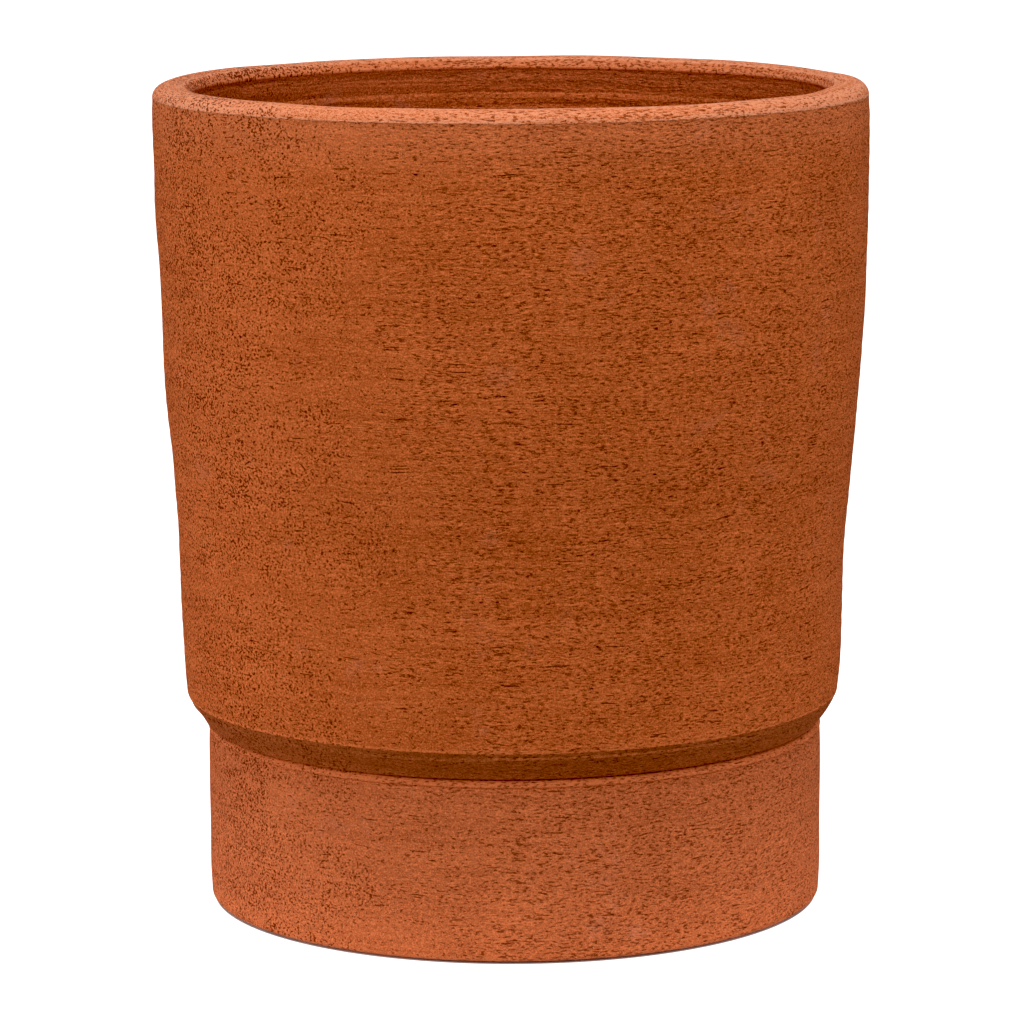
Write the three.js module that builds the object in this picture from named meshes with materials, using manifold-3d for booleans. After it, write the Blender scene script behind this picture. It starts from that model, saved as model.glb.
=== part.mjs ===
// A large raw terracotta planter: a thick-walled pot that stands in a deep cylindrical saucer.
//
// The pot flares gently from its shoulder to a rounded rim. Under the shoulder it steps in, through a
// cone and a flat ledge, to a narrower skirt that goes down inside the saucer and stands on its floor on
// a turned foot ring. Water drains through a hole in the pot's floor, out under the foot ring by three
// notches, and stands in the saucer around the skirt. The pot lifts straight out.
//
// Frame: millimetres, +Z up, origin on the ground at the middle of the saucer's underside.

import * as THREE from "three";
import { mergeVertices } from "three/addons/utils/BufferGeometryUtils.js";
import Module from "manifold-3d";

// Driving dimensions of the whole.
const HEIGHT = 403; // ground to the crown of the rim
const POT_RADIUS = 175; // widest, a little under the rim
const SAUCER_HEIGHT = 88;
const SAUCER_RADIUS = 152;
const STAND_GAP = 0.3; // between the pot's foot and the saucer's floor
const LEDGE_GAP = 0.7; // between the saucer's rim and the pot's ledge

// The pot's wall: outer radius and height of a few places between the shoulder and the rim.
const BODY = [
  [163.2, 132],
  [164.3, 174],
  [167, 216],
  [170.6, 256],
  [173.2, 312],
  [POT_RADIUS, 376],
];
const WALL = 15.5;
const SHOULDER_Z = 103; // the wall turns in to the cone
const SHOULDER_RADIUS = 161.7;
const SHOULDER_ROUND = 5;

// The pot's rim: a crown between two creases, with a slight undercut below the inner one.
const RIM_DROP = 5; // crown down to the creases
const RIM_OUTER = POT_RADIUS - 0.4; // outer crease
const RIM_INNER = RIM_OUTER - 16.5; // inner crease
const UNDERCUT = 1.5;
const UNDERCUT_DROP = 9; // crease down to the deepest place of the undercut
const CROWN_STEPS = 6;

// The pot's skirt and foot, inside the saucer.
const SKIRT_TOP = 135; // outer radius under the ledge
const SKIRT_FOOT = 130; // outer radius at the foot
const SKIRT_WALL = 14;
const FLOOR = 13.5;
const FOOT_WIDTH = 20; // radial width of the foot ring
const FOOT_RECESS = 6; // height of the hollow inside the foot ring
const DRAIN_RADIUS = 15;
const NOTCHES = 3; // drainage notches through the foot ring
const NOTCH_RADIUS = 8;
const NOTCH_DEPTH = 4.5;

// The saucer.
const SAUCER_WALL = 10;
const SAUCER_FLOOR = 12;
const SAUCER_RECESS = 2.5; // height of the hollow inside its foot ring
const SAUCER_FOOT = 118; // inner radius of its foot ring

// Fineness.
const TURNS = 64; // facets around the axis
const ARC_STEP = Math.PI / 6; // largest turn between two points of a rounded corner
const BODY_STEPS = 12;
const NOTCH_FACETS = 16;

const FOOT_Z = SAUCER_FLOOR + STAND_GAP; // underside of the foot ring
const RECESS_Z = FOOT_Z + FOOT_RECESS; // underside of the pot's floor
const FLOOR_Z = RECESS_Z + FLOOR; // top of the pot's floor
const LEDGE_Z = SAUCER_HEIGHT + LEDGE_GAP;
const CREASE_Z = HEIGHT - RIM_DROP;

const wasm = await Module();
wasm.setup();

// A corner of an outline: radius from the axis, height, and the radius that rounds it off.
const corner = (radius, z, round = 0) => ({ at: new THREE.Vector2(radius, z), round });

// Points of the arc that rounds off a corner between its two neighbours.
function roundedCorner(before, { at, round }, after) {
  if (!round) return [at];
  const back = before.at.clone().sub(at).normalize();
  const on = after.at.clone().sub(at).normalize();
  const half = Math.acos(back.dot(on)) / 2;
  const centre = back.clone().add(on).setLength(round / Math.sin(half)).add(at);
  const reach = round / Math.tan(half);
  const start = at.clone().addScaledVector(back, reach).sub(centre);
  const end = at.clone().addScaledVector(on, reach).sub(centre);
  const turn = Math.atan2(start.cross(end), start.dot(end));
  const steps = Math.ceil(Math.abs(turn) / ARC_STEP);
  const axis = new THREE.Vector2();
  return Array.from({ length: steps + 1 }, (_, i) =>
    start.clone().rotateAround(axis, (turn * i) / steps).add(centre),
  );
}

// The points of a whole outline, with its round corners worked out. Its first and last are sharp.
const outline = (corners) =>
  corners.flatMap((c, i) => roundedCorner(corners[i - 1], c, corners[i + 1]));

// The closed solid that an outline sweeps round the axis.
function turned(points) {
  const geometry = new THREE.LatheGeometry([...points, points[0]], TURNS);
  // LatheGeometry turns about Y: stand it up along Z.
  return geometry.rotateX(Math.PI / 2);
}

// The outside of the wall, from the shoulder up to the outer crease.
function bodyCurve() {
  const knots = BODY.map(([radius, z]) => new THREE.Vector2(radius, z));
  const low = new THREE.Vector2(SHOULDER_RADIUS + 0.2, SHOULDER_Z + 4);
  const high = new THREE.Vector2(RIM_OUTER, CREASE_Z);
  return new THREE.SplineCurve([low, ...knots, high]).getPoints(BODY_STEPS);
}

// The crown of the rim, between the two creases: an arc that is RIM_DROP high.
function rimCrown() {
  const half = (RIM_OUTER - RIM_INNER) / 2;
  const radius = (half ** 2 + RIM_DROP ** 2) / (2 * RIM_DROP);
  const reach = Math.asin(half / radius);
  const centre = new THREE.Vector2(RIM_OUTER - half, HEIGHT - radius);
  return Array.from({ length: CROWN_STEPS - 1 }, (_, i) => {
    const angle = reach * (1 - (2 * (i + 1)) / CROWN_STEPS);
    return new THREE.Vector2(Math.sin(angle), Math.cos(angle)).multiplyScalar(radius).add(centre);
  });
}

// The underside, from the drain hole out over the foot ring, up the skirt and out to the shoulder.
function underside(end) {
  const footInner = SKIRT_FOOT - FOOT_WIDTH;
  return outline([
    corner(DRAIN_RADIUS, RECESS_Z),
    corner(footInner - 3, RECESS_Z, 2),
    corner(footInner, FOOT_Z, 1.5),
    corner(SKIRT_FOOT, FOOT_Z, 3),
    corner(SKIRT_TOP, LEDGE_Z, 1.5),
    corner(SAUCER_RADIUS, LEDGE_Z, 0.6),
    corner(SHOULDER_RADIUS, SHOULDER_Z, SHOULDER_ROUND),
    corner(end.x, end.y),
  ]);
}

// The inside, from the inner crease down the wall, in to the skirt and across the floor to the hole.
function inside() {
  const wall = BODY.toReversed().map(([radius, z]) => corner(radius - WALL, z));
  return outline([
    corner(RIM_INNER, CREASE_Z),
    corner(RIM_INNER + UNDERCUT, CREASE_Z - UNDERCUT_DROP, 4),
    ...wall,
    corner(SHOULDER_RADIUS - WALL, SHOULDER_Z + 19, 14),
    corner(SKIRT_TOP - SKIRT_WALL, LEDGE_Z + 12, 16),
    corner(SKIRT_FOOT - SKIRT_WALL, FLOOR_Z, 18),
    corner(DRAIN_RADIUS, FLOOR_Z),
  ]);
}

// The pot's outline, anticlockwise from the lower edge of the drain hole.
function potOutline() {
  const body = bodyCurve();
  return [...underside(body[0]), ...body.slice(1), ...rimCrown(), ...inside()];
}

// The saucer's outline, anticlockwise from the middle of its underside: a straight-sided dish.
function saucerOutline() {
  const inner = SAUCER_RADIUS - SAUCER_WALL;
  return outline([
    corner(0, SAUCER_RECESS),
    corner(SAUCER_FOOT - 3, SAUCER_RECESS, 1.5),
    corner(SAUCER_FOOT, 0),
    corner(SAUCER_RADIUS - 0.8, 0, 2),
    corner(SAUCER_RADIUS + 0.3, 36),
    corner(SAUCER_RADIUS, SAUCER_HEIGHT, 2.2),
    corner(inner, SAUCER_HEIGHT, 3),
    corner(inner - 1, SAUCER_FLOOR, 14),
    corner(0, SAUCER_FLOOR),
  ]);
}

// A geometry as a manifold-3d solid.
function solid(geometry) {
  const bare = geometry.clone();
  bare.deleteAttribute("normal");
  bare.deleteAttribute("uv");
  const merged = mergeVertices(bare, 1e-3);
  return new wasm.Manifold(
    new wasm.Mesh({
      numProp: 3,
      vertProperties: merged.attributes.position.array,
      triVerts: new Uint32Array(merged.index.array),
    }),
  );
}

// A manifold-3d solid as a geometry.
function geometryOf(manifold) {
  const { vertProperties, triVerts } = manifold.getMesh();
  const geometry = new THREE.BufferGeometry()
    .setAttribute("position", new THREE.BufferAttribute(vertProperties, 3))
    .setIndex(new THREE.BufferAttribute(triVerts, 1));
  geometry.computeVertexNormals();
  return geometry;
}

// A round bar lying along a radius, which cuts one notch through the foot ring.
function notchCutter(angle) {
  const length = FOOT_WIDTH + 2 * NOTCH_RADIUS;
  return new THREE.CylinderGeometry(NOTCH_RADIUS, NOTCH_RADIUS, length, NOTCH_FACETS)
    .rotateZ(Math.PI / 2)
    .translate(SKIRT_FOOT - FOOT_WIDTH / 2, 0, FOOT_Z + NOTCH_DEPTH - NOTCH_RADIUS)
    .rotateZ(angle);
}

// The pot, with its drainage notches cut. One of them is at the front.
function potGeometry() {
  let pot = solid(turned(potOutline()));
  for (let i = 0; i < NOTCHES; i++) {
    const angle = (i / NOTCHES) * 2 * Math.PI - Math.PI / 2;
    pot = pot.subtract(solid(notchCutter(angle)));
  }
  return geometryOf(pot);
}

// A part of raw, unglazed clay.
function part(name, geometry, color) {
  const clay = new THREE.MeshStandardMaterial({ color, roughness: 0.9, metalness: 0 });
  const mesh = new THREE.Mesh(geometry, clay);
  mesh.name = name;
  return mesh;
}

const planter = new THREE.Group();
planter.add(part("saucer", turned(saucerOutline()), 0xb45a30));
planter.add(part("pot", potGeometry(), 0xa04a20));

export default planter;
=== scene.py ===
"""A large raw terracotta pot standing in its deep saucer, on a pale studio floor.

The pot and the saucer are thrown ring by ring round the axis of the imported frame, smoothed, given a
hand-thrown unevenness, and finished in raw clay. Lengths are in metres, and +Z is up.
"""

import logging
import math
from dataclasses import dataclass
from enum import Enum
from typing import Callable, Iterator, Sequence

import bmesh
import bpy
import numpy as np
from mathutils import Matrix, Vector

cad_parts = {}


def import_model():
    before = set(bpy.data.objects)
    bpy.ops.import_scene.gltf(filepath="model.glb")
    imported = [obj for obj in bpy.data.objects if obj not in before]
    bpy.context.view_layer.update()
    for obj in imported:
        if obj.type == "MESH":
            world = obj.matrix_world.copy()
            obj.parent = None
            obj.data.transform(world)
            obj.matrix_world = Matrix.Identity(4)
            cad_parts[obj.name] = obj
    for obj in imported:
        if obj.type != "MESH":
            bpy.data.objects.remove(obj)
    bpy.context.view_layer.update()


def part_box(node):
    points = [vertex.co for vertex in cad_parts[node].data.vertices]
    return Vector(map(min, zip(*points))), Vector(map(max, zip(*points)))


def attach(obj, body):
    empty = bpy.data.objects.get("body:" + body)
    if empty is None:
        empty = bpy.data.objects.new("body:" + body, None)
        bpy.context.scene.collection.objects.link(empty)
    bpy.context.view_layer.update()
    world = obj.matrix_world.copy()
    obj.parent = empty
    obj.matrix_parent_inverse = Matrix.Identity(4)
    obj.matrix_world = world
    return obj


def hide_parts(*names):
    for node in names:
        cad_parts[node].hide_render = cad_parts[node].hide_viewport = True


LOG = logging.getLogger("planter")
MM = 0.001
ALONG = "along_the_outline"  # the vertex attribute that says how far along the outline a point lies
SAME_PLACE = 0.02 * MM  # two vertices this close are the same one
LEAST_WEIGHT = 0.001  # a relief leaves vertices with less than this alone
SMOOTH_BELOW = math.radians(35)  # edges sharper than this stay crisp
NOWHERE = 10000.0  # a distance along the outline, in millimetres, that no outline reaches

Weigher = Callable[[np.ndarray], np.ndarray]
Socket = bpy.types.NodeSocket
Colour = tuple[float, float, float, float]


class Push(Enum):
    """The ways in which a relief moves the clay."""

    OUT = "NORMAL"
    SIDEWAYS = "X"


@dataclass(frozen=True)
class Ring:
    """One ring of a thrown form: its radius, its height and how far its edge is rounded."""

    radius: float
    height: float
    round: float = 0.0
    steps: int = 2


@dataclass(frozen=True)
class Relief:
    """A shallow unevenness of a surface: how far it moves, how much at each point, and which way."""

    name: str
    depth: float
    weigh: Weigher
    push: Push = Push.OUT


def smooth_step(low: float, high: float, value: np.ndarray) -> np.ndarray:
    """Goes smoothly from 0 at low to 1 at high."""
    share = np.clip((value - low) / (high - low), 0.0, 1.0)
    return share * share * (3.0 - 2.0 * share)


def hump(middle: float, reach: float, value: np.ndarray) -> np.ndarray:
    """A soft bump that is 1 at middle and 0 beyond reach on both sides."""
    share = np.clip(np.abs(value - middle) / reach, 0.0, 1.0)
    return 0.5 + 0.5 * np.cos(math.pi * share)


def ripple(points: np.ndarray, seed: int, waves: int, length: float) -> np.ndarray:
    """A smooth random height between about -1 and 1, the same each run.

    Args:
        points: places, one row each.
        seed: chooses the pattern.
        waves: how many plane waves are summed.
        length: the typical distance from crest to crest.

    Returns:
        One height for each point.
    """
    draw = np.random.default_rng(seed)
    total = np.zeros(len(points))
    for _ in range(waves):
        direction = draw.normal(size=3)
        direction /= np.linalg.norm(direction)
        turn = 2.0 * math.pi / (length * draw.uniform(0.6, 1.6))
        total += np.sin(points @ direction * turn + draw.uniform(0.0, 2.0 * math.pi))
    return total * math.sqrt(2.0 / waves) * 0.5


def curve_through(knots: Sequence[tuple[float, float]], spacing: float) -> Iterator[Ring]:
    """Rings along a smooth curve.

    Args:
        knots: places on the curve, as radius and height.
        spacing: about how far apart the rings are.

    Yields:
        The rings, from the first knot to the last.
    """
    ends = [knots[0], *knots, knots[-1]]
    for before, start, end, after in zip(ends, ends[1:], ends[2:], ends[3:]):
        p0, p1, p2, p3 = (np.array(k) for k in (before, start, end, after))
        count = max(1, round(float(np.linalg.norm(p2 - p1)) / spacing))
        for step in range(count):
            t = step / count
            bend = (2 * p0 - 5 * p1 + 4 * p2 - p3) * t + (3 * p1 - p0 - 3 * p2 + p3) * t * t
            radius, height = p1 + 0.5 * t * ((p2 - p0) + bend)
            yield Ring(float(radius), float(height))
    yield Ring(*knots[-1])


def start_clean() -> None:
    """Leaves nothing selected and nothing in edit mode."""
    if bpy.context.object and bpy.context.object.mode != "OBJECT":
        bpy.ops.object.mode_set(mode="OBJECT")
    bpy.ops.object.select_all(action="DESELECT")


def take_up(piece: bpy.types.Object) -> None:
    """Selects one piece alone and makes it active."""
    start_clean()
    bpy.context.view_layer.objects.active = piece
    piece.select_set(True)


def apply_modifier(piece: bpy.types.Object, kind: str, name: str, **settings: object) -> None:
    """Adds a modifier to a piece and applies it.

    Args:
        piece: the piece that gets the modifier.
        kind: the modifier's type.
        name: the modifier's name.
        **settings: the modifier's settings.
    """
    take_up(piece)
    modifier = piece.modifiers.new(name, kind)
    for key, value in settings.items():
        setattr(modifier, key, value)
    bpy.ops.object.modifier_apply(modifier=modifier.name)


def shade_smooth(piece: bpy.types.Object) -> None:
    """Shades a piece smooth, apart from its sharp edges."""
    take_up(piece)
    bpy.ops.object.shade_smooth_by_angle(angle=SMOOTH_BELOW)


class ThrownForm:
    """A form pulled up ring by ring from a first ring, then closed into one skin of clay."""

    def __init__(self, name: str, rings: Sequence[Ring], turns: int) -> None:
        """Throws the form.

        Args:
            name: the piece's name.
            rings: the outline in order, from the first ring to the last.
            turns: how many corners each ring has.
        """
        self.rings = list(rings)
        first = self.rings[0]
        start_clean()
        bpy.ops.mesh.primitive_circle_add(
            vertices=turns, radius=first.radius, fill_type="NOTHING", location=(0, 0, first.height)
        )
        self.piece = bpy.context.object
        self.piece.name = name
        self.piece.data.name = name
        bpy.ops.object.transform_apply(location=True, rotation=False, scale=False)
        bpy.ops.object.mode_set(mode="EDIT")
        bpy.ops.mesh.select_mode(type="EDGE")
        bpy.ops.mesh.select_all(action="SELECT")
        for below, ring in zip(self.rings, self.rings[1:]):
            self._pull(below, ring)

    def _pull(self, below: Ring, ring: Ring) -> None:
        """Extrudes the selected ring to the next one's height and radius."""
        rise = (0, 0, ring.height - below.height)
        bpy.ops.mesh.extrude_region_move(TRANSFORM_OT_translate={"value": rise})
        wider = ring.radius / below.radius
        bpy.ops.transform.resize(value=(wider, wider, 1), center_override=(0, 0, ring.height))

    def close_wall(self) -> None:
        """Joins the last ring to the first, round a hole that goes right through."""
        bpy.ops.mesh.select_all(action="DESELECT")
        bpy.ops.mesh.select_non_manifold()
        bpy.ops.mesh.bridge_edge_loops()

    def close_ends(self) -> None:
        """Draws the first and the last ring in to the axis."""
        for ring in (self.rings[0], self.rings[-1]):
            self._select(ring)
            bpy.ops.mesh.extrude_region_move(TRANSFORM_OT_translate={"value": (0, 0, 0)})
            bpy.ops.mesh.merge(type="CENTER")

    def _select(self, ring: Ring) -> None:
        """Selects the edges that lie round a ring."""
        bpy.ops.mesh.select_all(action="DESELECT")
        form = bmesh.from_edit_mesh(self.piece.data)
        on = {
            vertex
            for vertex in form.verts
            if abs(vertex.co.z - ring.height) < SAME_PLACE
            and abs(vertex.co.xy.length - ring.radius) < SAME_PLACE
        }
        for edge in form.edges:
            edge.select = all(vertex in on for vertex in edge.verts)
        form.select_flush(True)
        bmesh.update_edit_mesh(self.piece.data)

    def round_edges(self) -> None:
        """Bevels every ring that says how far its edge is rounded."""
        for ring in self.rings:
            if ring.round:
                self._select(ring)
                bpy.ops.mesh.bevel(offset=ring.round, segments=ring.steps, affect="EDGES")

    def finish(self, levels: int) -> bpy.types.Object:
        """Turns the skin's faces outwards, smooths it and leaves edit mode.

        Args:
            levels: how many times the skin is subdivided.

        Returns:
            The finished piece.
        """
        bpy.ops.mesh.select_all(action="SELECT")
        bpy.ops.mesh.remove_doubles(threshold=SAME_PLACE)
        bpy.ops.mesh.normals_make_consistent(inside=False)
        bpy.ops.object.mode_set(mode="OBJECT")
        apply_modifier(self.piece, "SUBSURF", "smooth clay", levels=levels, render_levels=levels)
        return self.piece


def points_of(piece: bpy.types.Object) -> np.ndarray:
    """The places of a piece's vertices, one row each."""
    flat = np.zeros(len(piece.data.vertices) * 3, np.float32)
    piece.data.vertices.foreach_get("co", flat)
    return flat.reshape(-1, 3).astype(float)


def press(piece: bpy.types.Object, relief: Relief) -> None:
    """Weights a piece by a relief and displaces it.

    Args:
        piece: the piece to make uneven.
        relief: how far it moves, which way, and how much at each point.
    """
    group = piece.vertex_groups.new(name=relief.name)
    weights = np.clip(relief.weigh(points_of(piece)), 0.0, 1.0)
    for index in np.flatnonzero(weights > LEAST_WEIGHT):
        group.add([int(index)], float(weights[index]), "REPLACE")
    apply_modifier(
        piece,
        "DISPLACE",
        relief.name,
        strength=relief.depth,
        mid_level=0.0,
        direction=relief.push.value,
        vertex_group=group.name,
    )
    piece.vertex_groups.clear()


def distances_along(rings: Sequence[Ring]) -> np.ndarray:
    """How far along the outline each of its rings lies."""
    corners = np.array([(ring.radius, ring.height) for ring in rings])
    return np.concatenate([[0.0], np.cumsum(np.linalg.norm(np.diff(corners, axis=0), axis=1))])


def note_distance_along(piece: bpy.types.Object, rings: Sequence[Ring]) -> None:
    """Stores how far along the outline each vertex lies, for marks that follow the throwing.

    Args:
        piece: the piece to mark.
        rings: its outline.
    """
    corners = np.array([(ring.radius, ring.height) for ring in rings])
    spans = np.diff(corners, axis=0)
    starts = distances_along(rings)
    lengths = np.diff(starts)
    points = points_of(piece)
    flat = np.stack([np.hypot(points[:, 0], points[:, 1]), points[:, 2]], axis=1)
    nearest = np.full(len(flat), np.inf)
    along = np.zeros(len(flat))
    for corner, span, length, start in zip(corners, spans, lengths, starts):
        share = np.clip((flat - corner) @ span / length**2, 0.0, 1.0)
        away = np.linalg.norm(flat - corner - share[:, None] * span, axis=1)
        better = away < nearest
        nearest[better] = away[better]
        along[better] = (start + share * length)[better]
    layer = piece.data.attributes.new(ALONG, "FLOAT", "POINT")
    layer.data.foreach_set("value", along.astype(np.float32))


class Graph:
    """A material's node tree, with one short method for each kind of node that the finishes use."""

    def __init__(self, name: str) -> None:
        """Starts a material that is a principled shader alone."""
        self.material = bpy.data.materials.new(name)
        self.material.use_nodes = True
        self.nodes = self.material.node_tree.nodes
        self.nodes.clear()
        self.shader = self.nodes.new("ShaderNodeBsdfPrincipled")
        output = self.nodes.new("ShaderNodeOutputMaterial")
        self.feed(output.inputs["Surface"], self.shader.outputs["BSDF"])

    def feed(self, socket: Socket, value: object) -> None:
        """Links a socket to a node's output, or sets it to a plain value."""
        if isinstance(value, bpy.types.NodeSocket):
            self.material.node_tree.links.new(value, socket)
        else:
            socket.default_value = value

    def math(self, operation: str, *values: object, clamp: bool = False) -> Socket:
        """A Math node.

        Args:
            operation: what it works out.
            *values: its inputs, in order.
            clamp: whether its result is kept between 0 and 1.

        Returns:
            Its result.
        """
        node = self.nodes.new("ShaderNodeMath")
        node.operation = operation
        node.use_clamp = clamp
        for socket, value in zip(node.inputs, values):
            self.feed(socket, value)
        return node.outputs[0]

    def total(self, start: object, *shares: tuple[Socket, float]) -> Socket:
        """A sum.

        Args:
            start: the value to start from.
            *shares: values to add, each with the number that it is multiplied by.

        Returns:
            The sum.
        """
        for value, weight in shares:
            start = self.math("MULTIPLY_ADD", value, weight, start)
        return start

    def vector(self, operation: str, *values: object) -> Socket:
        """A Vector Math node that gives a vector.

        Args:
            operation: what it works out.
            *values: its inputs, in order.

        Returns:
            Its result.
        """
        node = self.nodes.new("ShaderNodeVectorMath")
        node.operation = operation
        for socket, value in zip(node.inputs, values):
            self.feed(socket, value)
        return node.outputs["Vector"]

    def parts(self, vector: Socket) -> tuple[Socket, ...]:
        """The x, y and z of a vector."""
        node = self.nodes.new("ShaderNodeSeparateXYZ")
        self.feed(node.inputs[0], vector)
        return tuple(node.outputs)

    def joined(self, *values: object) -> Socket:
        """A vector from its x, y and z."""
        node = self.nodes.new("ShaderNodeCombineXYZ")
        for socket, value in zip(node.inputs, values):
            self.feed(socket, value)
        return node.outputs[0]

    def place(self) -> Socket:
        """The place on the object, in millimetres."""
        node = self.nodes.new("ShaderNodeTexCoord")
        return self.vector("DIVIDE", node.outputs["Object"], (MM, MM, MM))

    def along(self) -> Socket:
        """The distance along the outline, in millimetres."""
        node = self.nodes.new("ShaderNodeAttribute")
        node.attribute_name = ALONG
        return self.math("DIVIDE", node.outputs["Fac"], MM)

    def noise(self, at: Socket, size: float, detail: float = 2.0, rough: float = 0.5) -> Socket:
        """Smooth noise round 0.

        Args:
            at: where it is read.
            size: about how many millimetres across its features are.
            detail: how many finer layers it has.
            rough: how strong each finer layer is.

        Returns:
            The noise, from about -0.5 to 0.5.
        """
        node = self.nodes.new("ShaderNodeTexNoise")
        self.feed(node.inputs["Vector"], at)
        node.inputs["Scale"].default_value = 1.0 / size
        node.inputs["Detail"].default_value = detail
        node.inputs["Roughness"].default_value = rough
        return self.math("SUBTRACT", node.outputs["Fac"], 0.5)

    def cells(self, at: Socket, size: float) -> tuple[Socket, Socket]:
        """Scattered seeds.

        Args:
            at: where they are read.
            size: about how many millimetres apart they are.

        Returns:
            The distance to the nearest seed in millimetres, and a random number for each.
        """
        node = self.nodes.new("ShaderNodeTexVoronoi")
        self.feed(node.inputs["Vector"], at)
        node.inputs["Scale"].default_value = 1.0 / size
        split = self.nodes.new("ShaderNodeSeparateColor")
        self.feed(split.inputs[0], node.outputs["Color"])
        return self.math("MULTIPLY", node.outputs["Distance"], size), split.outputs[0]

    def ramp(self, value: Socket, low: object, high: object, first: object, last: object) -> Socket:
        """A value that follows another smoothly.

        Args:
            value: the value to follow.
            low: where the change begins.
            high: where the change ends.
            first: the result at low and before.
            last: the result at high and beyond.

        Returns:
            The result.
        """
        node = self.nodes.new("ShaderNodeMapRange")
        node.interpolation_type = "SMOOTHSTEP"
        for socket, given in zip(node.inputs, (value, low, high, first, last)):
            self.feed(socket, given)
        return node.outputs[0]

    def between(self, factor: Socket, first: Socket, second: Socket) -> Socket:
        """A number between two others."""
        way = self.math("SUBTRACT", second, first)
        return self.total(first, (self.math("MULTIPLY", factor, way), 1.0))

    def mixed(self, factor: object, first: object, second: object) -> Socket:
        """A colour between two others.

        Args:
            factor: how far it is from the first to the second, from 0 to 1.
            first: the colour at 0.
            second: the colour at 1.

        Returns:
            The colour.
        """
        node = self.nodes.new("ShaderNodeMix")
        node.data_type = "RGBA"
        for number, value in ((0, factor), (6, first), (7, second)):
            self.feed(node.inputs[number], value)
        return node.outputs[2]

    def bump(self, height: Socket, strength: float) -> Socket:
        """A normal from a height in millimetres.

        Args:
            height: the height of the relief.
            strength: how strongly it shows.

        Returns:
            The normal.
        """
        node = self.nodes.new("ShaderNodeBump")
        node.inputs["Strength"].default_value = strength
        node.inputs["Distance"].default_value = MM
        self.feed(node.inputs["Height"], height)
        return node.outputs["Normal"]


@dataclass(frozen=True)
class Marks:
    """Scattered marks of one kind that grog leaves in the clay. Sizes are in millimetres.

    Attributes:
        stretch: how many times longer round the wheel than across a mark is.
        spacing: about how far apart the places are where a mark may be, across.
        radius: half the width of the widest mark.
        share: the share of those places that have one.
        depth: how deep a mark goes.
    """

    stretch: float
    spacing: float
    radius: float
    share: float
    depth: float


@dataclass(frozen=True)
class Zones:
    """Where the clay changes, as distances along the outline in millimetres.

    Attributes:
        shoulder: the clay before it is painted darker, as painted shade under the shoulder.
        edge: the clay between it and the crease is torn.
        crease: the clay beyond it is inside, and painted darker, as painted shade inside the rim.
    """

    shoulder: float = -NOWHERE
    edge: float = NOWHERE
    crease: float = NOWHERE


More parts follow.
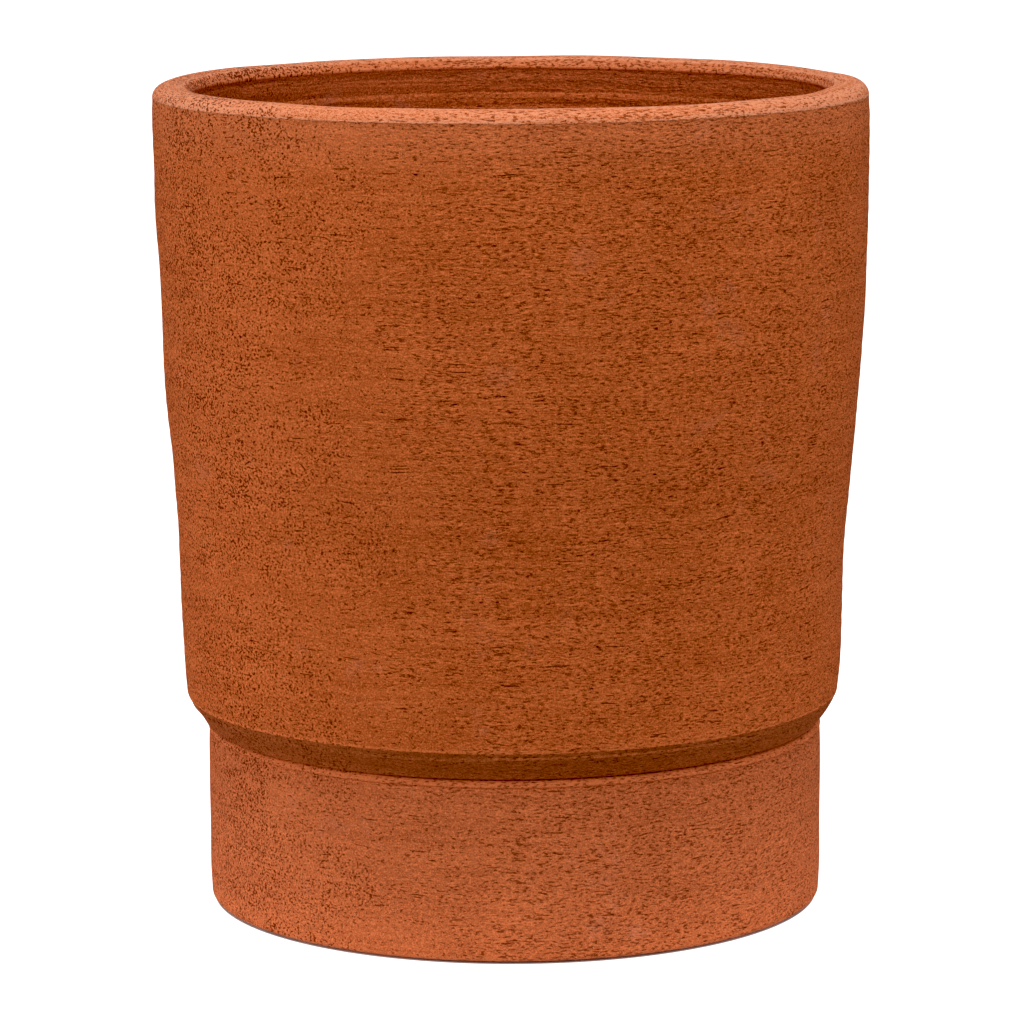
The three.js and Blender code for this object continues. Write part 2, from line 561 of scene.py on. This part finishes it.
@dataclass(frozen=True)
class RawClay:
    """Unglazed, grogged red clay, thrown and left rough. Sizes are in millimetres.

    The surface is full of small torn crumbs, in crowds. Grog leaves round pits where it pulled out,
    and drag marks where the potter's rib pushed it round the wall. Crumbs and marks are painted darker
    as painted shade in these hollows. A wipe smoothed the rim down to a ragged line, and the rim is
    painted paler and pinker, partly for the wipe and partly as painted sheen; the clay also grows paler
    towards it.

    Attributes:
        name: the material's name.
        rim_from: the height at which the rim begins.
        wipe_and_sheen_share: how strongly the rim takes its paler colour, partly the wipe and partly
            painted sheen, from 0 to 1.
        zones: where the clay changes along the outline.
        deep: the darkest clay tone.
        warm: the lightest clay tone.
        pit_shade: the dark clay in a crumb or a mark, painted shade in these hollows.
        wiped_and_sheen: the paler, pinker clay of the rim, partly the wipe and partly painted sheen; the
            band under the rim and the lowest edge take it too.
        bloom: the clay under pale salts.
        shoulder_shade: the darker, duller clay under the shoulder, painted shade.
        pale: how far pale salts cover the whole surface, from 0 to 1.
        torn_below: crumbs are torn out where the grain's noise is lower than this.
        crumb: the size of a crumb.
        pits: round holes that grog left.
        dashes: short marks of pushed grog.
        drags: long marks of pushed grog.
        wheel_radius: the radius at which marks have their stated length round the wheel.
        roughness: how dull the clay is.
        gloss: the clay's specular level.
        relief: how strongly the small relief shows.
    """

    name: str
    rim_from: float
    wipe_and_sheen_share: float
    zones: Zones = Zones()
    deep: Colour = (0.30, 0.050, 0.009, 1.0)
    warm: Colour = (0.97, 0.250, 0.084, 1.0)
    pit_shade: Colour = (0.19, 0.020, 0.002, 1.0)
    wiped_and_sheen: Colour = (1.0, 0.385, 0.21, 1.0)
    bloom: Colour = (0.78, 0.37, 0.26, 1.0)
    shoulder_shade: Colour = (0.21, 0.085, 0.035, 1.0)
    pale: float = 0.0
    torn_below: float = -0.126
    crumb: float = 1.05
    pits: Marks = Marks(1.3, 2.6, 0.60, 0.22, 0.5)
    dashes: Marks = Marks(4.5, 1.8, 0.42, 0.45, 0.4)
    drags: Marks = Marks(16.0, 1.5, 0.40, 0.60, 0.35)
    wheel_radius: float = 165.0
    roughness: float = 0.9
    gloss: float = 0.1
    relief: float = 1.0

    def build(self) -> bpy.types.Material:
        """Makes the material."""
        graph = Graph(self.name)
        place = graph.place()
        x, _, z = graph.parts(place)
        exact = graph.along()
        along = graph.total(exact, (graph.noise(place, 30.0, 1.0), 5.0))
        patch = graph.noise(place, 45.0, 3.0, 0.6)
        crowd = graph.noise(self._wheel(graph, place, along, 4.0), 8.0, 3.0, 0.6)
        smear = graph.ramp(graph.total(graph.noise(place, 50.0, 1.0), (x, 0.003)), -0.4, 0.0, 0.0, 1.0)
        round_grain = graph.noise(self._wheel(graph, place, along, 1.2), self.crumb, 1.0)
        long_grain = graph.noise(self._wheel(graph, place, along, 3.0), self.crumb * 0.8, 1.0)
        fine = graph.between(smear, round_grain, long_grain)
        grit = graph.noise(place, self.crumb * 0.65, 1.0)
        streak = graph.noise(self._wheel(graph, place, along, 6.0), 1.6, 2.0, 0.6)
        band = graph.noise(self._wheel(graph, place, along, 45.0), 8.0, 3.0, 0.55)
        line = graph.noise(self._wheel(graph, place, along, 70.0), 1.8, 2.0)

        edge, crease = self.zones.edge, self.zones.crease
        # 1 beyond the inner crease: the tone there is lowered as painted shade inside the rim, and crumbs
        #                            are fewer
        inside = graph.ramp(exact, crease - 0.3, crease + 0.5, 0.0, 1.0)
        torn = graph.math("SUBTRACT", graph.ramp(exact, edge - 0.4, edge + 0.3, 0.0, 1.0), inside)
        # 1 under the shoulder, over the cone, ledge, skirt and underside, where painted shade makes the
        # clay darker and duller
        shoulder_shade = graph.ramp(exact, self.zones.shoulder - 0.6, self.zones.shoulder + 0.2, 1.0, 0.0)
        # a paler band along the shoulder's edge and the torn bevel's edge: painted highlight
        shoulder_edge = self._edge(graph, exact, self.zones.shoulder + 0.6)
        edge_highlight = graph.math("MAXIMUM", shoulder_edge, self._edge(graph, exact, edge))
        # 1 on the rim, where the clay is paler and smoother: partly the wipe, partly painted sheen
        wiped_and_sheen = self._wiped_and_sheen(graph, place, inside, torn)
        rough_side = graph.ramp(x, -150.0, -60.0, 1.0, 0.0)
        # 1 over the rim's top, where the tone is raised: painted highlight on the pot's rim and on the
        # saucer's lip
        lip = graph.ramp(z, self.rim_from - 0.3, self.rim_from + 0.2, 0.0, 1.0)

        limit = graph.total(self.torn_below, (crowd, 0.27), (rough_side, 0.045), (torn, 0.06))
        limit = graph.total(limit, (wiped_and_sheen, -0.005), (inside, -0.05))
        over = graph.math("SUBTRACT", fine, limit)
        crumbs = graph.ramp(over, -0.03, 0.015, 1.0, 0.0)
        burrs = graph.math("SUBTRACT", graph.ramp(over, 0.02, 0.06, 1.0, 0.0), crumbs)
        marks = [(kind, self._scattered(graph, place, along, kind, patch, fine)) for kind in self._marks()]

        tone = graph.total(0.5, (patch, 0.35), (band, 0.22), (fine, 1.5), (grit, 1.2), (streak, 0.3))
        ridges = graph.math("MULTIPLY", line, inside)
        # the throwing lines inside are painted lighter: painted highlight on the ridges
        specks = graph.ramp(grit, 0.10, 0.22, 0.0, 1.0)
        tone = graph.total(tone, (line, 0.35), (ridges, 1.2), (specks, 0.3), (burrs, 0.5))
        # painted shade lowers the tone inside the rim and under the shoulder; painted highlight raises it
        # over the rim top and along the two edges
        tone = graph.total(tone, (inside, -0.20), (shoulder_shade, -0.08), (lip, 0.3), (edge_highlight, 0.3))
        colour = graph.mixed(graph.math("ADD", tone, 0.0, clamp=True), self.deep, self.warm)
        bloom = graph.ramp(graph.noise(place, 26.0, 5.0, 0.65), 0.08, 0.28, 0.0, 0.14)
        colour = graph.mixed(graph.math("ADD", bloom, self.pale), colour, self.bloom)
        # painted shade under the shoulder: the clay is mixed about a third of the way toward a dark, dull
        # colour
        colour = graph.mixed(graph.math("MULTIPLY", shoulder_shade, 0.34), colour, self.shoulder_shade)
        # the clay grows paler over the last 30 mm below the rim
        rim_paling = graph.ramp(z, self.rim_from - 30.0, self.rim_from, 0.0, 0.12 * self.wipe_and_sheen_share)
        # painted light from the floor: the lowest 2.6 mm of clay, the saucer's bottom edge, turns paler
        # and pinker
        floor_bounce_paint = graph.ramp(z, 1.2, 2.6, 0.35, 0.0)
        uneven = graph.total(0.5, (fine, 2.6), (grit, 2.6), (line, 2.2), (torn, -0.1), (edge_highlight, 0.7))
        paler = graph.total(rim_paling, (graph.math("MULTIPLY", wiped_and_sheen, uneven), 1.0), (floor_bounce_paint, 1.0))
        # the rim, the band below it and the lowest edge mix toward the pale rim colour, which is partly
        # painted sheen
        colour = graph.mixed(graph.math("ADD", paler, 0.0, clamp=True), colour, self.wiped_and_sheen)
        # painted shade in the crumbs: their clay is mixed toward the dark hollow colour, more strongly
        # towards -X
        strong = graph.total(0.62, (smear, -0.20), (rough_side, 0.28))
        strong = graph.math("MULTIPLY", crumbs, strong)
        colour = graph.mixed(strong, colour, self.pit_shade)
        height = graph.total(0.0, (wiped_and_sheen, 0.3), (band, 0.1), (fine, 0.6), (streak, 0.25), (line, 0.30))
        height = graph.total(height, (crumbs, -0.30), (burrs, 0.10), (grit, 0.15))
        # painted shade in the marks: each is mixed toward the dark hollow colour as it is cut into the
        # relief
        for kind, there in marks:
            colour = graph.mixed(graph.math("MULTIPLY", there, 0.75), colour, self.pit_shade)
            height = graph.total(height, (there, -kind.depth))
        graph.feed(graph.shader.inputs["Base Color"], colour)
        graph.feed(graph.shader.inputs["Normal"], graph.bump(height, self.relief))
        graph.shader.inputs["Roughness"].default_value = self.roughness
        graph.shader.inputs["Specular IOR Level"].default_value = self.gloss
        return graph.material

    def _marks(self) -> tuple[Marks, ...]:
        """The kinds of mark that the clay has."""
        return (self.pits, self.dashes, self.drags)

    def _wheel(self, graph: Graph, place: Socket, along: Socket, stretch: float) -> Socket:
        """Coordinates in which a round feature comes out stretched round the wheel.

        Args:
            graph: the material's nodes.
            place: the place on the object.
            along: the distance along the outline.
            stretch: how many times longer round the wheel than across.

        Returns:
            The coordinates, in millimetres across.
        """
        x, y, _ = graph.parts(place)
        reach = self.wheel_radius / stretch
        outward = graph.vector("NORMALIZE", graph.joined(x, y, 0.0))
        outward = graph.vector("MULTIPLY", outward, (reach, reach, reach))
        return graph.vector("ADD", outward, graph.joined(0.0, 0.0, along))

    def _wiped_and_sheen(self, graph: Graph, place: Socket, inside: Socket, torn: Socket) -> Socket:
        """Where the rim is paler, partly from the wipe and partly as painted sheen: 1 on the rim, 0 below
        its ragged edge and inside.

        Args:
            graph: the material's nodes.
            place: the place on the object.
            inside: 1 beyond the inner crease.
            torn: 1 on the torn bevel, where the wiping missed half of the clay.

        Returns:
            The value from 0 to 1.
        """
        ragged = graph.noise(place, 3.5, 3.0, 0.7)
        height = graph.total(graph.parts(place)[2], (ragged, 1.8))
        low = self.rim_from
        rim = graph.ramp(height, low - 0.3, low + 0.3, 0.0, self.wipe_and_sheen_share)
        return graph.math("MULTIPLY", rim, graph.total(1.0, (inside, -1.0), (torn, -0.55)), clamp=True)

    def _edge(self, graph: Graph, exact: Socket, at: float) -> Socket:
        """An edge band: 1 at a distance along the outline, 0 a little way from it on both sides."""
        away = graph.math("ABSOLUTE", graph.math("SUBTRACT", exact, at))
        return graph.ramp(away, 0.3, 1.0, 1.0, 0.0)

    def _scattered(
        self, graph: Graph, place: Socket, along: Socket, kind: Marks, patch: Socket, fine: Socket
    ) -> Socket:
        """Marks of one kind, closer together in some patches than in others.

        Args:
            graph: the material's nodes.
            place: the place on the object.
            along: the distance along the outline.
            kind: what the marks are like.
            patch: a broad noise that says where there are more.
            fine: a fine noise that makes their edges uneven.

        Returns:
            1 in a mark, 0 elsewhere.
        """
        distance, chance = graph.cells(self._wheel(graph, place, along, kind.stretch), kind.spacing)
        distance = graph.total(distance, (fine, 1.2 * kind.radius))
        radius = graph.ramp(chance, 1.0 - kind.share, 1.0, 0.0, kind.radius)
        radius = graph.math("MULTIPLY", radius, graph.ramp(patch, -0.15, 0.15, 0.75, 1.15))
        return graph.ramp(distance, graph.math("MULTIPLY", radius, 0.35), radius, 1.0, 0.0)


def dress(piece: bpy.types.Object, finish: RawClay) -> None:
    """Gives a piece its only material.

    Args:
        piece: the piece to dress.
        finish: its clay.
    """
    piece.data.materials.clear()
    piece.data.materials.append(finish.build())


@dataclass
class Pot:
    """The pot: a rounded rim, a gently flaring wall, a cone and a ledge over the saucer, and a skirt."""

    top: float
    foot: float
    radius: float
    saucer_top: float
    saucer_radius: float
    wall: float = 15.5 * MM
    rim_inset: float = 0.4 * MM
    rim_drop: float = 5.9 * MM
    ledge_gap: float = 0.7 * MM
    shoulder_rise: float = 15.0 * MM
    shoulder_out: float = 9.7 * MM
    skirt_radius: float = 135.0 * MM
    foot_radius: float = 130.0 * MM
    foot_width: float = 20.0 * MM
    recess: float = 6.0 * MM
    floor: float = 13.5 * MM
    drain_radius: float = 15.0 * MM
    notches: int = 3
    notch_radius: float = 8.0 * MM
    notch_depth: float = 4.5 * MM
    turns: int = 48
    levels: int = 2

    # How far the wall stands in from its widest place, at heights over the shoulder, in millimetres.
    flare = ((29, 11.8), (71, 10.7), (113, 8.0), (153, 4.4), (209, 1.8), (273, 0.0), (289, 0.3))
    # How far in from its outer edge the rim's top is, and how far down, in millimetres.
    crown = (
        (0.1, 5.2), (0.7, 3.5), (2.3, 1.7), (4.8, 0.6), (7.6, 0.2), (10.5, 0.3), (13.4, 0.7), (15.4, 1.1),
    )  # fmt: skip
    # The same for the torn bevel that drops from the crown to the inner crease.
    bevel = ((16.1, 1.35), (16.5, 1.8), (16.8, 2.8), (17.5, 4.2), (17.8, 5.3))
    # How far the inside stands back from the inner crease, at drops below it, in millimetres.
    under_rim = (
        (0.6, 0.5), (2.2, 1.2), (5.0, 1.5), (8.0, 1.8), (10.5, 2.3), (13.2, 3.0), (14.0, 2.7),
        (14.9, 2.2), (16.5, 2.4), (19.0, 2.8), (22.0, 2.9), (25.0, 2.9),
    )  # fmt: skip

    @property
    def ledge(self) -> float:
        """The height of the ledge's underside."""
        return self.saucer_top + self.ledge_gap

    @property
    def shoulder(self) -> Ring:
        """Where the wall turns in to the cone."""
        height = self.saucer_top + self.shoulder_rise
        return Ring(self.saucer_radius + self.shoulder_out, height, 0.9 * MM, 2)

    @property
    def crease(self) -> float:
        """The height of the crease round the outside of the rim."""
        return self.top - self.rim_drop

    @property
    def floor_top(self) -> float:
        """The height of the floor's upper face."""
        return self.foot + self.recess + self.floor

    def _under(self) -> list[Ring]:
        """The rings from the drain hole out to the shoulder."""
        ceiling = self.foot + self.recess
        inner = self.foot_radius - self.foot_width
        lean = self.skirt_radius - self.foot_radius
        height = self.ledge - self.foot
        skirt = [
            Ring(self.foot_radius + lean * share, self.foot + height * share) for share in (0.3, 0.7)
        ]
        return [
            Ring(self.drain_radius, ceiling, 1.5 * MM),
            Ring((self.drain_radius + inner) / 2, ceiling),
            Ring(inner - 3 * MM, ceiling, 2 * MM),
            Ring(inner, self.foot, 1.5 * MM),
            Ring(self.foot_radius, self.foot, 3 * MM),
            *skirt,
            Ring(self.skirt_radius, self.ledge, 1.5 * MM),
            Ring(self.saucer_radius, self.ledge, 0.7 * MM),
            Ring(self.saucer_radius + self.shoulder_out * 0.3, self.ledge + 4.3 * MM),
            Ring(self.saucer_radius + self.shoulder_out * 0.82, self.ledge + 11.7 * MM),
            self.shoulder,
        ]

    def _body(self) -> list[Ring]:
        """The rings of the wall's outside, from the shoulder to the outer crease."""
        low = self.shoulder
        knots = [(low.radius + 0.6 * MM, low.height + 8 * MM)]
        knots += [(self.radius - back * MM, low.height + rise * MM) for rise, back in self.flare]
        near = Ring(low.radius + 0.1 * MM, low.height + 2.4 * MM)
        return [near, *curve_through(knots, 8.5 * MM)]

    def _rim(self) -> list[Ring]:
        """The rings over the rim, from the outer crease to the inner one."""
        outer = self.radius - self.rim_inset
        lip = [Ring(outer - 0.15 * MM, self.crease - 1.2 * MM), Ring(outer, self.crease)]
        over = [Ring(outer - back * MM, self.top - drop * MM) for back, drop in self.crown + self.bevel]
        return [*lip, *over]

    def _inside(self) -> list[Ring]:
        """The rings down the inside, from under the inner crease to the drain hole."""
        low = self.shoulder.radius - self.wall
        crease = self._rim()[-1]
        below = [
            Ring(crease.radius + back * MM, crease.height - drop * MM) for drop, back in self.under_rim
        ]
        flare = self.flare[4::-1]
        knots = [
            (self.radius - self.wall - back * MM, self.shoulder.height + rise * MM)
            for rise, back in flare
        ]
        skirt = self.skirt_radius - self.wall + 1.5 * MM
        return [
            *below,
            *curve_through(knots, 14 * MM),
            Ring(low - 4 * MM, self.ledge + 30 * MM),
            Ring(skirt + 8 * MM, self.ledge + 18 * MM),
            Ring(skirt + 1.5 * MM, self.ledge + 5 * MM),
            Ring(skirt - 2 * MM, self.ledge - 17 * MM),
            Ring(skirt - 4 * MM, self.floor_top + 18 * MM),
            Ring(skirt - 8.5 * MM, self.floor_top + 6 * MM),
            Ring(skirt - 18 * MM, self.floor_top + 1 * MM),
            Ring(skirt - 32 * MM, self.floor_top),
            Ring((skirt + self.drain_radius) / 2, self.floor_top),
            Ring(self.drain_radius, self.floor_top, 2 * MM),
        ]

    def _notch(self, piece: bpy.types.Object, turn: float) -> None:
        """Cuts one drainage notch through the foot ring.

        Args:
            piece: the pot.
            turn: the angle round the axis at which the notch lies.
        """
        start_clean()
        middle = self.foot_radius - self.foot_width / 2
        height = self.foot + self.notch_depth - self.notch_radius
        bpy.ops.mesh.primitive_cylinder_add(
            vertices=48,
            radius=self.notch_radius,
            depth=self.foot_width + 2 * self.notch_radius,
            location=(middle * math.cos(turn), middle * math.sin(turn), height),
            rotation=(0, math.pi / 2, turn),
        )
        cutter = bpy.context.object
        apply_modifier(piece, "BOOLEAN", "notch", operation="DIFFERENCE", object=cutter)
        bpy.data.objects.remove(cutter)

    def _reliefs(self) -> list[Relief]:
        """The unevenness that the potter's hands left."""

        def wall_only(points: np.ndarray) -> np.ndarray:
            """1 on the body and the rim, fading out below the shoulder."""
            return smooth_step(self.ledge, self.shoulder.height + 20 * MM, points[:, 2])

        def dents(points: np.ndarray) -> np.ndarray:
            """Broad, shallow hollows and swellings."""
            return (0.5 + 0.5 * ripple(points * (1, 1, 1.8), 11, 40, 90 * MM)) * wall_only(points)

        def throwing(points: np.ndarray) -> np.ndarray:
            """Low ridges that climb slowly round the outside."""
            turn = np.arctan2(points[:, 1], points[:, 0]) / (2 * math.pi)
            climb = points[:, 2] / (9 * MM) + turn
            uneven = 0.5 + 0.5 * ripple(points * (1, 1, 4), 5, 30, 120 * MM)
            low = smooth_step(self.shoulder.height + 4 * MM, self.shoulder.height + 25 * MM, points[:, 2])
            high = smooth_step(self.crease - 1 * MM, self.crease - 8 * MM, points[:, 2])
            outside = np.hypot(points[:, 0], points[:, 1]) > self.radius - self.wall
            return (0.5 + 0.5 * np.cos(2 * math.pi * climb)) * uneven * outside * low * high

        def fingers(points: np.ndarray) -> np.ndarray:
            """Finger ridges that climb round the inside."""
            turn = np.arctan2(points[:, 1], points[:, 0]) / (2 * math.pi)
            ridge = 0.5 + 0.5 * np.cos(2 * math.pi * (points[:, 2] / (19 * MM) + turn))
            inside = np.hypot(points[:, 0], points[:, 1]) < self.radius - self.wall + 0.2 * MM
            below = smooth_step(self.crease - 24 * MM, self.crease - 40 * MM, points[:, 2])
            above = smooth_step(self.floor_top + 4 * MM, self.floor_top + 28 * MM, points[:, 2])
            return ridge * inside * below * above

        return [
            Relief("leaning over", 1.0 * MM, lambda p: hump(305 * MM, 130 * MM, p[:, 2]), Push.SIDEWAYS),
            Relief("leaning back", -0.4 * MM, lambda p: hump(115 * MM, 50 * MM, p[:, 2]), Push.SIDEWAYS),
            Relief("dents", 0.7 * MM, dents),
            Relief("throwing ridges", 0.22 * MM, throwing),
            Relief("finger ridges", 0.8 * MM, fingers),
        ]

    def build(self) -> bpy.types.Object:
        """Throws the pot, cuts its notches and makes it uneven."""
        rings = [*self._under(), *self._body(), *self._rim(), *self._inside()]
        form = ThrownForm("pot_clay_body", rings, self.turns)
        form.close_wall()
        form.round_edges()
        piece = form.finish(self.levels)
        for number in range(self.notches):
            self._notch(piece, (number + 0.25) * 2 * math.pi / self.notches)
        for relief in self._reliefs():
            press(piece, relief)
        note_distance_along(piece, rings)
        shade_smooth(piece)
        along = distances_along(rings) / MM
        shoulder = len(self._under()) - 1
        crease = shoulder + len(self._body()) + len(self._rim())
        zones = Zones(along[shoulder], along[crease - len(self.bevel) + 1], along[crease])
        dress(piece, RawClay("pot clay", self.crease / MM, 1.0, zones))
        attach(piece, "pot")
        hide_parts("pot")
        return piece


@dataclass
class Saucer:
    """The deep saucer: a straight-sided dish with a soft lip and a turned foot ring."""

    top: float
    radius: float
    wall: float = 10.0 * MM
    floor: float = 12.0 * MM
    recess: float = 2.5 * MM
    foot_radius: float = 118.0 * MM
    foot_edge: float = 5.0 * MM
    lip: float = 3.2 * MM
    turns: int = 48
    levels: int = 2

    def _rings(self) -> list[Ring]:
        """The outline from the middle of the underside round to the middle of the floor."""
        inner = self.radius - self.wall
        side = [Ring(self.radius - 0.1 * MM, height * MM) for height in (20, 28, 36, 44, 52, 60, 68, 76)]
        return [
            Ring(12 * MM, self.recess),
            Ring(60 * MM, self.recess),
            Ring(self.foot_radius - 3 * MM, self.recess, 1 * MM),
            Ring(self.foot_radius, 0.0, 0.8 * MM),
            Ring(self.radius - self.foot_edge, 0.0, 0.3 * MM),
            Ring(self.radius - self.foot_edge + 1 * MM, 0.9 * MM, 0.3 * MM),
            Ring(self.radius - 1.5 * MM, 1.0 * MM, 0.2 * MM),
            Ring(self.radius - 0.5 * MM, 2.0 * MM, 0.3 * MM),
            Ring(self.radius - 0.3 * MM, 6 * MM),
            Ring(self.radius - 0.2 * MM, 12 * MM),
            *side,
            Ring(self.radius - 0.3 * MM, self.top - self.lip - 1.2 * MM),
            Ring(self.radius - 0.9 * MM, self.top - self.lip - 0.3 * MM, 0.2 * MM),
            Ring(self.radius, self.top - self.lip + 0.3 * MM, 0.2 * MM),
            Ring(self.radius - 0.3 * MM, self.top - 1.5 * MM),
            Ring(self.radius - 1.1 * MM, self.top - 0.4 * MM),
            Ring(self.radius - 2.6 * MM, self.top),
            Ring(inner, self.top, 2.5 * MM, 3),
            Ring(inner - 0.3 * MM, self.top - 14 * MM),
            Ring(inner - 0.7 * MM, 50 * MM),
            Ring(inner - 1.0 * MM, self.floor + 14 * MM),
            Ring(inner - 4.5 * MM, self.floor + 4 * MM),
            Ring(inner - 14 * MM, self.floor),
            Ring(60 * MM, self.floor),
            Ring(12 * MM, self.floor),
        ]

    def _reliefs(self) -> list[Relief]:
        """The unevenness that the potter's hands left."""

        def dents(points: np.ndarray) -> np.ndarray:
            """Broad, shallow hollows and swellings of the wall."""
            wall = smooth_step(4 * MM, 16 * MM, points[:, 2])
            return (0.5 + 0.5 * ripple(points * (1, 1, 1.8), 23, 40, 80 * MM)) * wall

        return [
            Relief("off the middle", 0.8 * MM, lambda p: np.ones(len(p)), Push.SIDEWAYS),
            Relief("dents", 0.4 * MM, dents),
        ]

    def build(self) -> bpy.types.Object:
        """Throws the saucer and makes it uneven."""
        rings = self._rings()
        form = ThrownForm("saucer_clay_body", rings, self.turns)
        form.close_ends()
        form.round_edges()
        piece = form.finish(self.levels)
        note_distance_along(piece, rings)
        for relief in self._reliefs():
            press(piece, relief)
        shade_smooth(piece)
        clay = RawClay("saucer clay", (self.top - self.lip) / MM, 0.0, pale=0.09, torn_below=-0.116)
        dress(piece, clay)
        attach(piece, "saucer")
        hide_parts("saucer")
        return piece


@dataclass(frozen=True)
class Softbox:
    """A square studio light: its side, where it hangs, what it looks at, and its power in watts."""

    name: str
    side: float
    place: tuple[float, float, float]
    target: tuple[float, float, float]
    power: float

    def build(self) -> None:
        """Hangs the light."""
        data = bpy.data.lights.new(self.name, "AREA")
        data.shape = "SQUARE"
        data.size = self.side
        data.energy = self.power
        light = bpy.data.objects.new(self.name, data)
        bpy.context.scene.collection.objects.link(light)
        light.location = self.place
        aim = Vector(self.target) - Vector(self.place)
        light.rotation_euler = aim.to_track_quat("-Z", "Y").to_euler()


@dataclass
class Studio:
    """The pale floor, the soft lights and the camera."""

    camera_distance: float = 2.3483
    camera_height: float = 0.5886
    camera_pitch: float = math.radians(9.634)
    camera_roll: float = math.radians(-0.272)
    lens: float = 169.3
    sight: float = 200.0
    floor_side: float = 60.0
    floor_drop: float = 0.1 * MM
    floor_glow: float = 0.95
    table_reach: float = 210.0 * MM
    table_fade: float = 60.0 * MM
    table_tone: float = 0.8
    far_tone: float = 0.05
    paper: Colour = (0.85, 0.85, 0.85, 1.0)
    contact: tuple[float, float] = (0.8 * MM, -1.3 * MM)
    contact_radius: float = 149.9 * MM
    contact_fade: float = 0.2 * MM
    white: float = 1.1
    ambient: float = 0.5
    black_level: float = 0.015

    def _floor(self) -> None:
        """A pale floor, lit evenly from below round the saucer, that throws little light from afar."""
        start_clean()
        bpy.ops.mesh.primitive_plane_add(size=self.floor_side, location=(0, 0, -self.floor_drop))
        floor = bpy.context.object
        floor.name = "studio_floor"
        graph = Graph("studio paper")
        seen = graph.nodes.new("ShaderNodeLightPath").outputs["Is Camera Ray"]
        middle = (self.contact[0] / MM, self.contact[1] / MM, 0.0)
        away = graph.nodes.new("ShaderNodeVectorMath")
        away.operation = "DISTANCE"
        graph.feed(away.inputs[0], graph.place())
        away.inputs[1].default_value = middle
        reach, edge = self.table_reach / MM, self.contact_radius / MM
        fade = reach + self.table_fade / MM
        near = graph.ramp(away.outputs["Value"], reach, fade, self.table_tone, self.far_tone)
        clear_from = edge + self.contact_fade / MM
        clear = graph.ramp(away.outputs["Value"], edge, clear_from, 0.0, self.floor_glow)
        pale = graph.mixed(seen, near, self.paper)
        graph.feed(graph.shader.inputs["Base Color"], pale)
        graph.shader.inputs["Roughness"].default_value = 1.0
        graph.shader.inputs["Specular IOR Level"].default_value = 0.0
        graph.shader.inputs["Emission Color"].default_value = (1.0, 1.0, 1.0, 1.0)
        graph.feed(graph.shader.inputs["Emission Strength"], graph.math("MULTIPLY", seen, clear))
        floor.data.materials.append(graph.material)

    def _camera(self) -> None:
        """A long lens looking slightly down."""
        data = bpy.data.cameras.new("camera")
        data.lens = self.lens
        data.clip_end = self.sight
        camera = bpy.data.objects.new("camera", data)
        bpy.context.scene.collection.objects.link(camera)
        camera.location = (0.0, -self.camera_distance, self.camera_height)
        look = Matrix.Rotation(math.pi / 2 - self.camera_pitch, 3, "X")
        roll = Matrix.Rotation(self.camera_roll, 3, "Z")
        camera.rotation_euler = (look @ roll).to_euler()
        bpy.context.scene.camera = camera

    def _surround(self) -> None:
        """Surroundings that are white to look at and cast a faint even light."""
        world = bpy.data.worlds.new("studio")
        bpy.context.scene.world = world
        world.use_nodes = True
        tree = world.node_tree
        seen = tree.nodes.new("ShaderNodeLightPath").outputs["Is Camera Ray"]
        strength = tree.nodes.new("ShaderNodeMath")
        strength.operation = "MULTIPLY_ADD"
        strength.inputs[1].default_value = self.white - self.ambient
        strength.inputs[2].default_value = self.ambient
        tree.links.new(seen, strength.inputs[0])
        back = tree.nodes["Background"]
        back.inputs["Color"].default_value = (1.0, 1.0, 1.0, 1.0)
        tree.links.new(strength.outputs[0], back.inputs["Strength"])

    def _tones(self) -> None:
        """Plain tones with deep shadows."""
        view = bpy.context.scene.view_settings
        view.view_transform = "Standard"
        view.look = "None"
        view.use_curve_mapping = True
        view.curve_mapping.black_level = (self.black_level,) * 3
        view.curve_mapping.update()

    def build(self) -> None:
        """Sets up the whole studio."""
        self._floor()
        self._camera()
        self._surround()
        self._tones()
        for light in (
            Softbox("overhead", 1.0, (-0.12, -0.65, 1.5), (0, 0, 0.25), 5.0),
            Softbox("front", 0.6, (0.1, -1.25, 1.45), (0, 0, 0.2), 5.2),
            Softbox("left", 0.45, (-0.85, 0.15, 0.12), (0, 0, 0.15), 1.7),
            Softbox("left front", 0.45, (-0.8, -0.4, 0.12), (0, 0, 0.15), 1.5),
            Softbox("right", 0.45, (0.85, 0.15, 0.12), (0, 0, 0.15), 0.8),
            Softbox("right front", 0.45, (0.8, -0.4, 0.12), (0, 0, 0.15), 1.0),
        ):
            light.build()


def main() -> None:
    """Builds the planter around the frame, piece by piece, and then its studio."""
    logging.basicConfig(level=logging.INFO, format="%(name)s: %(message)s")
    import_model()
    pot_low, pot_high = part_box("pot")
    _, saucer_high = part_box("saucer")
    saucer_radius = saucer_high.x
    saucer = Saucer(top=saucer_high.z, radius=saucer_radius)
    pot = Pot(
        top=pot_high.z,
        foot=pot_low.z,
        radius=pot_high.x,
        saucer_top=saucer_high.z,
        saucer_radius=saucer_radius - 0.3 * MM,
    )
    for piece in (saucer.build(), pot.build()):
        LOG.info("%s: %d faces", piece.name, len(piece.data.polygons))
    Studio().build()


if __name__ == "__main__":
    main()
